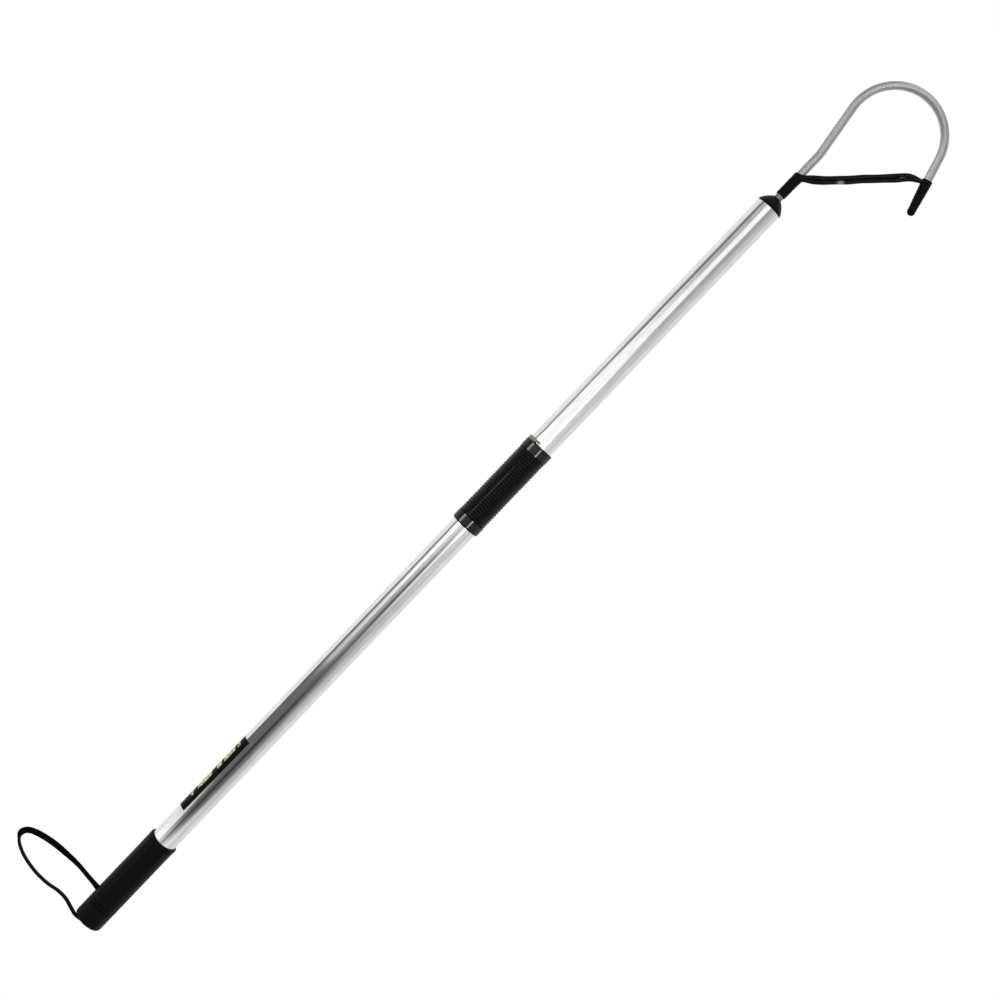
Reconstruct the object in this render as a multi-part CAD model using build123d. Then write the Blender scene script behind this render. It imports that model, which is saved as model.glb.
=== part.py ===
from build123d import *
from math import cos, radians, sin
import os

# A one-piece landing gaff, lying on its side.
# +X runs along the pole from the butt to the hook, the hook lies in the XY plane with its mouth
# towards -Y, the wrist loop leaves the pole towards +Y, and +Z is up.
# The origin is the centre of the butt's end face.

# ---------------------------------------------------------------- driving dimensions, in mm
TUBE_OD = 25.4
TUBE_WALL = 1.5
TUBE_LENGTH = 914.4
WIRE_D = 8.0  # hook wire
GRIP_WALL = 2.0  # rubber of both grips, outside the tube
GLUE_FILM = 0.3  # the tube is turned down by this much on the radius under each grip

# Butt end
CAP_END_WALL = 3.9
CAP_WALL = 1.9
CAP_EDGE_RADIUS = 3.0
CAP_LENGTH = 21.3
CORD_END_HOLE_D = 6.0
CORD_END_HOLE_FLARE = 2.0
BUTT_GRIP_LENGTH = 86.1
BUTT_RIB_PITCH = 2.8
BUTT_RIB_DEPTH = 0.25
BUTT_SMOOTH_BAND = 4.0
BULKHEAD_START = 58.0
BULKHEAD_LENGTH = 25.0

# Wrist loop: a flat 5 x 2.2 mm cord, held here as a round cord of nearly the same section
CORD_D = 3.4
CORD_SIDE_EXIT = 30.9
CORD_HOLE_D = 4.4
LOOP_REACH = 105.0  # from the pole axis to the far end of the loop
LOOP_SAG = 13.0  # the loop drops to the level that the grips rest on
HINGE_Y = 16.4
HINGE_Z = 3.0
CORD_KNOT_D = 12.0

# Middle grip
MID_GRIP_START = 517.3
MID_GRIP_LENGTH = 101.6
MID_SMOOTH_BAND = 10.3
MID_RIB_COUNT = 27
MID_RIB_DEPTH = 0.4
GLUE_BEAD_RADIUS = 1.8
GLUE_BEAD_FROM = 8.0  # degrees round the pole from +Z towards +Y
GLUE_BEAD_ARC = 70.0
BARE_AFTER_GRIP = 4.0  # turned-down tube left showing beyond the middle grip

# Sticker on the pole
LABEL_START = 144.5
LABEL_LENGTH = 89.2
LABEL_THICKNESS = 0.15
LABEL_FROM = 26.0  # degrees round the pole from +Z towards +Y
LABEL_ARC = 135.0

# Hook
SHANK_IN_TUBE = 105.0
SHANK_OUT = 64.0  # from the end of the tube to the first bend
BEND_RADIUS = 30.0
BEND_ANGLE = 8.75
BEND_TO_THROAT = 49.0
THROAT_RADIUS = 45.3
THROAT_TURN = 172.3
POINT_LEG = 26.0  # full-width wire beyond the throat
POINT_LENGTH = 26.0

# Hook fixing, inside the end of the tube
NOSE_LENGTH = 11.4
NOSE_TIP_RADIUS = 4.4
SPIGOT_LENGTH = 22.0
SPIGOT_CLEARANCE = 0.1
SEAL_SECTION = 1.9
EXPANDER_LENGTH = 32.0
WASHER_THICKNESS = 1.6
WASHER_OD = 21.0
NUT_ACROSS_FLATS = 13.0
NUT_HEIGHT = 6.5

# Sleeve, tether and point guard
SLEEVE_START = 15.2  # beyond the end of the tube
SLEEVE_LENGTH = 26.1
SLEEVE_WALL = 0.9
TETHER_WIDTH = 6.4
TETHER_THICKNESS = 3.0
GUARD_START = 22.0  # along the point leg, beyond the throat
GUARD_LENGTH = 35.0
GUARD_OPEN_D = 10.2
GUARD_TIP_D = 7.6
GUARD_RIB_PITCH = 2.25
GUARD_RIB_COUNT = 10
GUARD_RIB_DEPTH = 0.22
GUARD_CLEARANCE = 0.05  # between the guard's bore and the wire
GUARD_LIP = 1.0

# ---------------------------------------------------------------- worked-out sizes
TUBE_R = TUBE_OD / 2
BORE_R = TUBE_R - TUBE_WALL
KEYED_R = TUBE_R - GLUE_FILM
GRIP_R = TUBE_R + GRIP_WALL
CAP_R = TUBE_R + CAP_WALL
WIRE_R = WIRE_D / 2
TUBE_START = CAP_END_WALL
TUBE_END = TUBE_START + TUBE_LENGTH
BUTT_GRIP_END = CAP_LENGTH + BUTT_GRIP_LENGTH
MID_GRIP_END = MID_GRIP_START + MID_GRIP_LENGTH
NOSE_TIP = TUBE_END + NOSE_LENGTH
SLEEVE_FROM = TUBE_END + SLEEVE_START
SLEEVE_END = SLEEVE_FROM + SLEEVE_LENGTH
SLEEVE_R = WIRE_R + SLEEVE_WALL


# ---------------------------------------------------------------- shared shapes
def tube_between(x_from, x_to, outer_r, inner_r=0.0):
    """A round bar along the pole's axis, or a tube when inner_r is given."""
    section = Circle(outer_r)
    if inner_r:
        section -= Circle(inner_r)
    return Pos(x_from, 0, 0) * extrude(Plane.YZ * section, x_to - x_from)


def lathe(outline):
    """Turn a closed outline, drawn as (distance along X, radius), about the X axis."""
    return revolve(make_face(outline), Axis.X)


def rib_crests(x_from, r_from, x_to, r_to, count, depth):
    """Rounded ribs, one arc each, whose crests run on the line from (x_from, r_from) to (x_to, r_to)."""
    pitch = (x_to - x_from) / count
    slope = (r_to - r_from) / (x_to - x_from)

    def crest_r(x):
        return r_from + slope * (x - x_from)

    arcs = []
    for rib in range(count):
        start = x_from + rib * pitch
        middle = start + pitch / 2
        end = start + pitch
        arcs.append(
            ThreePointArc(
                (start, crest_r(start) - depth),
                (middle, crest_r(middle)),
                (end, crest_r(end) - depth),
            )
        )
    return arcs


def ribbed_sleeve(x_from, x_to, inner_r, outer_r, band, rib_count, rib_depth):
    """A grip: a smooth band at each end, and round ribs between them."""
    corner = 0.6
    ribs = rib_crests(x_from + band, outer_r, x_to - band, outer_r, rib_count, rib_depth)
    ground = outer_r - rib_depth
    start_band = Polyline(
        (x_from + band, ground),
        (x_from + band, outer_r),
        (x_from + corner, outer_r),
        (x_from, outer_r - corner),
        (x_from, inner_r),
        (x_to, inner_r),
        (x_to, outer_r - corner),
        (x_to - corner, outer_r),
        (x_to - band, outer_r),
        (x_to - band, ground),
    )
    return lathe([start_band, *ribs])


def hole_along_y(x, z, diameter):
    """A round cutter from the pole's axis out through its +Y side."""
    return Pos(x, 0, z) * extrude(Plane.XZ * Circle(diameter / 2), -2 * TUBE_OD)


def cord_along(path, diameter):
    """A round cord swept along a path, with a rounded end at each end of it."""
    section = Plane(origin=path @ 0, z_dir=path % 0) * Circle(diameter / 2)
    cord = sweep(section, path=path)
    return cord + Pos(*(path @ 0)) * Sphere(diameter / 2) + Pos(*(path @ 1)) * Sphere(diameter / 2)


# ---------------------------------------------------------------- pole
def main_tube():
    tube = tube_between(TUBE_START, TUBE_END, TUBE_R, BORE_R)
    skim = Circle(TUBE_R + 1) - Circle(KEYED_R)
    butt_length = BUTT_GRIP_END - CAP_LENGTH
    mid_length = MID_GRIP_LENGTH + BARE_AFTER_GRIP
    tube -= Pos(CAP_LENGTH, 0, 0) * extrude(Plane.YZ * skim, butt_length)
    tube -= Pos(MID_GRIP_START, 0, 0) * extrude(Plane.YZ * skim, mid_length)
    return tube - hole_along_y(CORD_SIDE_EXIT, HINGE_Z, CORD_HOLE_D)


def butt_cap():
    """A cup over the end of the tube, with a rounded edge and a hole for the cord."""
    cup = tube_between(0, CAP_LENGTH, CAP_R)
    cup = fillet(cup.edges().group_by(Axis.X)[0], CAP_EDGE_RADIUS)
    cup -= tube_between(TUBE_START, CAP_LENGTH, TUBE_R)
    cup -= tube_between(0, CAP_END_WALL, CORD_END_HOLE_D / 2)
    return chamfer(cup.edges().group_by(Axis.X)[0].sort_by(SortBy.RADIUS)[0], CORD_END_HOLE_FLARE)


def butt_grip():
    ribbed_length = BUTT_GRIP_LENGTH - 2 * BUTT_SMOOTH_BAND
    grip = ribbed_sleeve(
        CAP_LENGTH,
        BUTT_GRIP_END,
        TUBE_R,
        GRIP_R,
        BUTT_SMOOTH_BAND,
        round(ribbed_length / BUTT_RIB_PITCH),
        BUTT_RIB_DEPTH,
    )
    return grip - hole_along_y(CORD_SIDE_EXIT, HINGE_Z, CORD_HOLE_D)


def butt_grip_adhesive():
    film = tube_between(CAP_LENGTH, BUTT_GRIP_END, TUBE_R, KEYED_R)
    return film - hole_along_y(CORD_SIDE_EXIT, HINGE_Z, CORD_HOLE_D)


def butt_bulkhead():
    """A foam plug that keeps water out of the pole beyond the cord's holes."""
    return tube_between(BULKHEAD_START, BULKHEAD_START + BULKHEAD_LENGTH, BORE_R)


def mid_grip():
    return ribbed_sleeve(
        MID_GRIP_START,
        MID_GRIP_END,
        TUBE_R,
        GRIP_R,
        MID_SMOOTH_BAND,
        MID_RIB_COUNT,
        MID_RIB_DEPTH,
    )


def mid_grip_adhesive():
    """The film under the grip, with a dab squeezed out over the grip's upper edge."""
    film = tube_between(MID_GRIP_START, MID_GRIP_END, TUBE_R, KEYED_R)
    dab_section = Pos(MID_GRIP_END, GRIP_R - GLUE_BEAD_RADIUS / 2) * Circle(GLUE_BEAD_RADIUS)
    dab = revolve(dab_section, Axis.X, GLUE_BEAD_ARC)
    dab = Rot(90 - GLUE_BEAD_FROM - GLUE_BEAD_ARC, 0, 0) * dab
    dab -= tube_between(MID_GRIP_START, MID_GRIP_END + TUBE_OD, KEYED_R)
    return film + (dab - mid_grip() - film)


def label():
    """A sticker that wraps part of the way round the tube."""
    band = revolve(
        Pos(LABEL_START + LABEL_LENGTH / 2, TUBE_R + LABEL_THICKNESS / 2)
        * Rectangle(LABEL_LENGTH, LABEL_THICKNESS),
        Axis.X,
        LABEL_ARC,
    )
    return Rot(90 - LABEL_FROM - LABEL_ARC, 0, 0) * band


# ---------------------------------------------------------------- wrist loop
def loop_path():
    """The loop's centre line, from the hole in the pole's side round to the butt's end face."""
    floor_z = -LOOP_SAG
    return Spline(
        (CORD_SIDE_EXIT, HINGE_Y, HINGE_Z),
        (CORD_SIDE_EXIT - 1, HINGE_Y + 13, -6),
        (CORD_SIDE_EXIT - 2, HINGE_Y + 36, floor_z),
        (CORD_SIDE_EXIT - 4, LOOP_REACH - 29, floor_z),
        (CORD_SIDE_EXIT - 9, LOOP_REACH - 9, floor_z),
        (CORD_SIDE_EXIT / 2 - 1, LOOP_REACH, floor_z),
        (4, LOOP_REACH - 7, floor_z),
        (-3.5, LOOP_REACH - 25, floor_z),
        (-5.8, LOOP_REACH - 47, floor_z),
        (-4.2, HINGE_Y + 22, -10),
        (-2.6, HINGE_Y + 9, -4.5),
        (-CORD_D / 2 - 0.3, HINGE_Y, HINGE_Z),
    )


def wrist_cord():
    return cord_along(loop_path(), CORD_D)


def cord_inner_ends():
    """The cord's two ends: one lies on the cap and goes in at its centre, one comes out at the side."""
    knot_x = CORD_SIDE_EXIT - CORD_KNOT_D
    face_x = -CORD_D / 2 - 0.3
    end_run = Spline(
        (face_x, HINGE_Y - CORD_D / 2 - 1.0, HINGE_Z),
        (face_x, 5, 1.5),
        (1.2, 0.2, 0),
        (knot_x - CORD_KNOT_D / 2, 0, 0),
        tangents=((0, -1, 0), (1, 0, 0)),
    )
    side_run = Spline(
        (knot_x + CORD_KNOT_D / 2, 0, 0),
        (CORD_SIDE_EXIT - 2, 4, HINGE_Z - 1),
        (CORD_SIDE_EXIT, TUBE_R - 2, HINGE_Z),
        tangents=((1, 0, 0), (0, 1, 0)),
    )
    ends = []
    for path in (end_run, side_run):
        section = Plane(origin=path @ 0, z_dir=path % 0) * Circle(CORD_D / 2)
        ends.append(sweep(section, path=path))
    return ends


def cord_knot():
    """The knot that joins the cord's two ends, inside the tube."""
    knot_x = CORD_SIDE_EXIT - CORD_KNOT_D
    knot = Pos(knot_x, 0, 0) * Sphere(CORD_KNOT_D / 2)
    for end in cord_inner_ends():
        knot -= end
    return knot


# ---------------------------------------------------------------- hook
def hook_spine():
    """The wire's centre line, from its tail in the tube to the start of the point."""
    tail = Line((TUBE_END - SHANK_IN_TUBE, 0), (TUBE_END + SHANK_OUT, 0))
    bend = JernArc(tail @ 1, tail % 1, BEND_RADIUS, BEND_ANGLE)
    straight = Line(bend @ 1, bend @ 1 + (bend % 1) * BEND_TO_THROAT)
    throat = JernArc(straight @ 1, straight % 1, THROAT_RADIUS, -THROAT_TURN)
    leg = Line(throat @ 1, throat @ 1 + (throat % 1) * POINT_LEG)
    return tail, bend, straight, throat, leg


def leg_frame():
    """A frame at the start of the point leg, with its X along the leg towards the point."""
    leg = hook_spine()[-1]
    direction = leg % 0
    return Plane(origin=leg @ 0, x_dir=direction, z_dir=(0, 0, 1))


def hook_point(clearance=0.0):
    """The sharp end of the wire, as (distance, radius) about the leg's own axis."""
    wire = WIRE_R + clearance
    base = Line((POINT_LEG, wire), (POINT_LEG, 0))
    axis = Line((POINT_LEG, 0), (POINT_LEG + POINT_LENGTH + clearance, 0))
    taper = ThreePointArc(
        (POINT_LEG + POINT_LENGTH + clearance, 0),
        (POINT_LEG + POINT_LENGTH / 2, wire * 0.62),
        (POINT_LEG, wire),
    )
    return lathe([base, axis, taper])


def hook():
    spine = Wire(hook_spine())
    wire = sweep(Plane(origin=spine @ 0, z_dir=spine % 0) * Circle(WIRE_R), path=spine)
    return wire + leg_frame().location * hook_point()


def nose_outline_top():
    """The nose's outside, a convex curve from the tube's rim to the wire."""
    return Spline(
        (TUBE_END, TUBE_R),
        (TUBE_END + NOSE_LENGTH * 0.35, TUBE_R * 0.84),
        (TUBE_END + NOSE_LENGTH * 0.75, TUBE_R * 0.58),
        (NOSE_TIP, NOSE_TIP_RADIUS),
    )


def seal_centre():
    """The seal sits in the middle of the spigot's length."""
    return TUBE_END - SPIGOT_LENGTH / 2, BORE_R - SEAL_SECTION / 2


def nose_plug():
    """A nose over the tube's end and a spigot in its bore, with a hexagonal pocket for a nut."""
    spigot_r = BORE_R - SPIGOT_CLEARANCE
    spigot_end = TUBE_END - SPIGOT_LENGTH
    rest = Polyline(
        (NOSE_TIP, NOSE_TIP_RADIUS),
        (NOSE_TIP, WIRE_R),
        (spigot_end, WIRE_R),
        (spigot_end, spigot_r),
        (TUBE_END, spigot_r),
        (TUBE_END, TUBE_R),
    )
    plug = lathe([nose_outline_top(), rest])
    seal_x, seal_r = seal_centre()
    groove_floor = seal_r - SEAL_SECTION / 2
    half = SEAL_SECTION / 2
    plug -= tube_between(seal_x - half, seal_x + half, BORE_R, groove_floor)
    return plug - nut_blank(spigot_end, spigot_end + NUT_HEIGHT)


def nose_seal():
    seal_x, seal_r = seal_centre()
    return revolve(Pos(seal_x, seal_r) * Circle(SEAL_SECTION / 2), Axis.X)


def nut_blank(x_from, x_to):
    """A hexagonal bar across the shank."""
    hexagon = RegularPolygon(NUT_ACROSS_FLATS / 2, 6, major_radius=False)
    return Pos(x_from, 0, 0) * extrude(Plane.YZ * hexagon, x_to - x_from)


def fixing_stack():
    """Where each piece on the shank starts, from the nose plug's spigot back down the tube."""
    front_washer = TUBE_END - SPIGOT_LENGTH - WASHER_THICKNESS
    expander = front_washer - EXPANDER_LENGTH
    rear_washer = expander - WASHER_THICKNESS
    rear_nut = rear_washer - NUT_HEIGHT
    return front_washer, expander, rear_washer, rear_nut


def expander_bush():
    """A rubber bush that the nuts squeeze until it grips the tube's bore."""
    _, start, _, _ = fixing_stack()
    return tube_between(start, start + EXPANDER_LENGTH, BORE_R, WIRE_R)


def shank_washers():
    front, _, rear, _ = fixing_stack()
    return [tube_between(x, x + WASHER_THICKNESS, WASHER_OD / 2, WIRE_R) for x in (front, rear)]


def shank_nuts():
    *_, rear = fixing_stack()
    front = TUBE_END - SPIGOT_LENGTH
    return [
        nut_blank(x, x + NUT_HEIGHT) - tube_between(x, x + NUT_HEIGHT, WIRE_R)
        for x in (front, rear)
    ]


# ---------------------------------------------------------------- guard and tether
def shank_sleeve():
    return tube_between(SLEEVE_FROM, SLEEVE_END, SLEEVE_R, WIRE_R)


def tip_guard():
    """A ribbed rubber sheath, open at the wire's side and closed over the point."""
    open_r = GUARD_OPEN_D / 2
    tip_r = GUARD_TIP_D / 2
    guard_end = GUARD_START + GUARD_LENGTH
    ribs_from = GUARD_START + GUARD_LIP
    ribs_to = ribs_from + GUARD_RIB_COUNT * GUARD_RIB_PITCH
    ribs_to_r = open_r + (tip_r - open_r) * (ribs_to - ribs_from) / (guard_end - tip_r - ribs_from)
    ribs = rib_crests(ribs_from, open_r, ribs_to, ribs_to_r, GUARD_RIB_COUNT, GUARD_RIB_DEPTH)
    after_ribs = Polyline(
        (ribs_to, ribs_to_r - GUARD_RIB_DEPTH),
        (guard_end - tip_r, tip_r),
    )
    round_end = ThreePointArc(
        (guard_end - tip_r, tip_r),
        (guard_end - tip_r * (1 - cos(radians(45))), tip_r * sin(radians(45))),
        (guard_end, 0),
    )
    back = Polyline(
        (guard_end, 0),
        (GUARD_START, 0),
        (GUARD_START, open_r),
        (ribs_from, open_r),
        (ribs_from, open_r - GUARD_RIB_DEPTH),
    )
    sheath = lathe([*ribs, after_ribs, round_end, back])
    sheath -= tube_between(GUARD_START, POINT_LEG, WIRE_R + GUARD_CLEARANCE)
    sheath -= hook_point(GUARD_CLEARANCE)
    return leg_frame().location * sheath


def tether():
    """A flat elastic pair of cords from the sleeve to the guard's inner side."""
    half = TETHER_WIDTH / 2
    gap = 0.6
    frame = leg_frame()
    start = Vector(SLEEVE_END + half, -WIRE_R - half - gap, 0)
    end = frame.from_local_coords((GUARD_START + half + 1, -GUARD_OPEN_D / 2 - gap, 0))
    chord = (end - start).normalized()
    path = Spline(
        start,
        end,
        tangents=(chord.rotate(Axis.Z, -6), chord.rotate(Axis.Z, -14)),
    )
    section = Plane(origin=path @ 0, x_dir=(0, 0, 1), z_dir=path % 0)
    return sweep(section * Ellipse(TETHER_THICKNESS / 2, half), path=path)


# ---------------------------------------------------------------- output
PIECES = (
    main_tube,
    butt_cap,
    butt_grip,
    butt_grip_adhesive,
    butt_bulkhead,
    cord_inner_ends,
    cord_knot,
    wrist_cord,
    label,
    mid_grip,
    mid_grip_adhesive,
    nose_plug,
    nose_seal,
    hook,
    expander_bush,
    shank_washers,
    shank_nuts,
    shank_sleeve,
    tether,
    tip_guard,
)

os.makedirs("parts", exist_ok=True)
for piece in PIECES:
    shape = piece()
    if isinstance(shape, list):
        shape = Compound(children=shape)
    export_step(shape, f"parts/{piece.__name__}.step")
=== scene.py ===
from math import asin, cos, degrees, exp, pi, radians, sin, sqrt

import bmesh
import bpy
import numpy as np
from mathutils import Matrix, Vector


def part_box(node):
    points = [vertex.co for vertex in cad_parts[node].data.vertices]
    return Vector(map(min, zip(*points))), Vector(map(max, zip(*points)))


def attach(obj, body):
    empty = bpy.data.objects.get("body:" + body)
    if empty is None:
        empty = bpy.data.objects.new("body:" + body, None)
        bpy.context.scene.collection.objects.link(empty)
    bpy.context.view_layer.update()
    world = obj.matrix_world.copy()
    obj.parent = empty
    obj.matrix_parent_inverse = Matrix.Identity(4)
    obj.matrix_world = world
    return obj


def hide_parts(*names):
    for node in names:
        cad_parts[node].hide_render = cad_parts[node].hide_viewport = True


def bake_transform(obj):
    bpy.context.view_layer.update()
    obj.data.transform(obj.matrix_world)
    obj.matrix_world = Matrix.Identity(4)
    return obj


# The looks of a landing gaff that lies on its side: +X along the pole to the hook, +Z up.
# Lengths are in metres; MM turns millimetres into metres.
MM = 0.001

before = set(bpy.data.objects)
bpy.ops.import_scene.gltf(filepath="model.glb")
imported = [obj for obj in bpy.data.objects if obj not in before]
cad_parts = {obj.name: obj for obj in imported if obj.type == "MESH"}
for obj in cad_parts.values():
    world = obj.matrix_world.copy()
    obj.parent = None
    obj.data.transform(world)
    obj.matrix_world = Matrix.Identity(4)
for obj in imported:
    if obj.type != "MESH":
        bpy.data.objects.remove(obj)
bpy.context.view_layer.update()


# ---------------------------------------------------------------- sizes, from the frame
def span(node):
    """Where a turned piece starts and ends along the pole, and its outer radius."""
    low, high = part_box(node)
    return low.x, high.x, high.z


TUBE_START, TUBE_END, TUBE_R = span("main_tube")
CAP_START, CAP_END, CAP_R = span("butt_cap")
BUTT_START, BUTT_END, GRIP_R = span("butt_grip")
MID_START, MID_END, _ = span("mid_grip")
SLEEVE_START, SLEEVE_END, SLEEVE_R = span("shank_sleeve")
LABEL_START, LABEL_END, _ = span("label")
_, NOSE_TIP, _ = span("nose_plug")
HOOK_TAIL, _, WIRE_R = span("hook")

TUBE_WALL = 1.5 * MM
BORE_R = TUBE_R - TUBE_WALL

# Angles about the pole are from straight up towards +Y
BUTT_SEAM = radians(25)
MID_SEAM = radians(18)
MID_BAND = 10.3 * MM  # the smooth band at each end of the middle grip
# where the painted highlight along the middle grip's seam ends
MID_SEAM_HIGHLIGHT_END = MID_START + 73 * MM
LABEL_MARKS_FROM, LABEL_MARKS_TO = 52, 112  # degrees
LABEL_BARS = ((11.3, 3), (20.5, 19.5), (47, 6.3), (56.8, 15), (75.3, 3.5))  # start, length in mm


# ---------------------------------------------------------------- mesh helpers
def new_mesh(name, vertices, faces, crease=35):
    """A closed, smooth-shaded mesh object whose edges sharper than the crease angle stay sharp."""
    mesh = bpy.data.meshes.new(name)
    mesh.from_pydata([tuple(v) for v in vertices], [], faces)
    shape = bmesh.new()
    shape.from_mesh(mesh)
    bmesh.ops.recalc_face_normals(shape, faces=shape.faces)
    shape.to_mesh(mesh)
    shape.free()
    mesh.polygons.foreach_set("use_smooth", [True] * len(mesh.polygons))
    mesh.set_sharp_from_angle(angle=radians(crease))
    piece = bpy.data.objects.new(name, mesh)
    bpy.context.collection.objects.link(piece)
    return piece


def join_rings(rings):
    """Faces between neighbouring rings of vertex numbers; a ring of one number is a pole."""
    faces = []
    for a, b in rings:
        if len(a) == 1 and len(b) == 1:
            continue
        for i in range(max(len(a), len(b))):
            j = i + 1
            if len(a) == 1:
                faces.append((a[0], b[i], b[j % len(b)]))
            elif len(b) == 1:
                faces.append((a[i], b[0], a[j % len(a)]))
            else:
                faces.append((a[i], b[i], b[j % len(b)], a[j % len(a)]))
    return faces


def turned(name, outline, segments=160, bulge=None, slip=None, place=None, crease=35):
    """Turns a closed outline of (distance along X, radius) about the X axis.

    bulge(x, angle) adds to the radius, slip(x, angle) moves a point along the axis, and place moves
    the finished shape to another axis. The angle is about the pole, from straight up towards +Y.
    """
    vertices, rings = [], []
    for x, r in outline:
        first = len(vertices)
        if r < 1e-7:
            vertices.append(Vector((x, 0, 0)))
            rings.append([first])
            continue
        for i in range(segments):
            angle = 2 * pi * i / segments
            reach = r + (bulge(x, angle) if bulge else 0)
            moved = x + (slip(x, angle) if slip else 0)
            vertices.append(Vector((moved, reach * sin(angle), reach * cos(angle))))
        rings.append(list(range(first, first + segments)))
    if place is not None:
        vertices = [place @ v for v in vertices]
    return new_mesh(name, vertices, join_rings(zip(rings, rings[1:] + rings[:1])), crease)


def level(x_from, x_to, r, steps):
    """Points at even spacing on a stretch of constant radius."""
    return [(x_from + (x_to - x_from) * i / steps, r) for i in range(steps + 1)]


def arc(x, r, radius, start, end, steps=8):
    """Points of a round corner about (x, r), from one angle to another, in degrees."""
    points = []
    for i in range(steps + 1):
        angle = radians(start + (end - start) * i / steps)
        points.append((x + radius * cos(angle), r + radius * sin(angle)))
    return points


def rib_run(x_from, r_from, x_to, r_to, count, depth, steps=8):
    """Rounded ribs whose crests run on a straight line between two points of an outline."""
    points = []
    for i in range(count * steps + 1):
        share = i / (count * steps)
        across = (i % steps) / steps * 2 - 1
        crest = r_from + (r_to - r_from) * share
        points.append((x_from + (x_to - x_from) * share, crest - depth * across**2))
    return points


def smooth_line(points, count):
    """Points at even spacing on a smooth curve through the given ones."""
    knots = np.array([tuple(p) for p in points], float)
    knots = np.vstack([2 * knots[0] - knots[1], knots, 2 * knots[-1] - knots[-2]])
    fine = []
    for p0, p1, p2, p3 in zip(knots, knots[1:], knots[2:], knots[3:]):
        for t in np.linspace(0, 1, 40, endpoint=False):
            fine.append(
                0.5
                * (
                    2 * p1
                    + (p2 - p0) * t
                    + (2 * p0 - 5 * p1 + 4 * p2 - p3) * t**2
                    + (3 * p1 - p0 - 3 * p2 + p3) * t**3
                )
            )
    fine.append(knots[-2])
    fine = np.array(fine)
    length = np.concatenate([[0], np.cumsum(np.linalg.norm(np.diff(fine, axis=0), axis=1))])
    at = np.linspace(0, length[-1], count)
    return np.column_stack([np.interp(at, length, fine[:, k]) for k in range(3)]), at


def swept(name, line, at, up, section, twist=None, crease=50):
    """Sweeps a section along a line, with the unbent position of each vertex kept for its texture.

    section(distance) gives the section's points as (towards up, sideways); twist(distance) turns it.
    """
    tangents = np.gradient(line, axis=0)
    tangents /= np.linalg.norm(tangents, axis=1)[:, None]
    vertices, unbent, rings = [], [], []
    for centre, tangent, distance in zip(line, tangents, at):
        above = np.array(up, float) - (np.array(up) @ tangent) * tangent
        above /= np.linalg.norm(above)
        beside = np.cross(tangent, above)
        turn = twist(distance) if twist else 0.0
        across = above * cos(turn) + beside * sin(turn)
        along = beside * cos(turn) - above * sin(turn)
        points = np.array(section(distance), float)
        if np.abs(points).max() < 1e-7:
            points = points[:1]
        first = len(vertices)
        for u, v in points:
            vertices.append(centre + across * u + along * v)
            unbent.append((distance, u, v))
        rings.append(list(range(first, len(vertices))))
    faces = join_rings(zip(rings, rings[1:]))
    for ring in (rings[0], rings[-1]):
        if len(ring) > 1:
            faces.append(tuple(ring))
    piece = new_mesh(name, vertices, faces, crease)
    grain = piece.data.attributes.new("unbent", "FLOAT_VECTOR", "POINT")
    grain.data.foreach_set("vector", np.array(unbent, np.float32).ravel())
    return piece


def circle_section(radius, count):
    """A round section."""
    angles = [2 * pi * i / count for i in range(count)]
    return [(radius * cos(a), radius * sin(a)) for a in angles]


def joined(name, pieces):
    """Several mesh pieces made into one."""
    bpy.ops.object.select_all(action="DESELECT")
    for piece in pieces:
        piece.select_set(True)
    bpy.context.view_layer.objects.active = pieces[0]
    bpy.ops.object.join()
    pieces[0].name = name
    return pieces[0]


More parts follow.
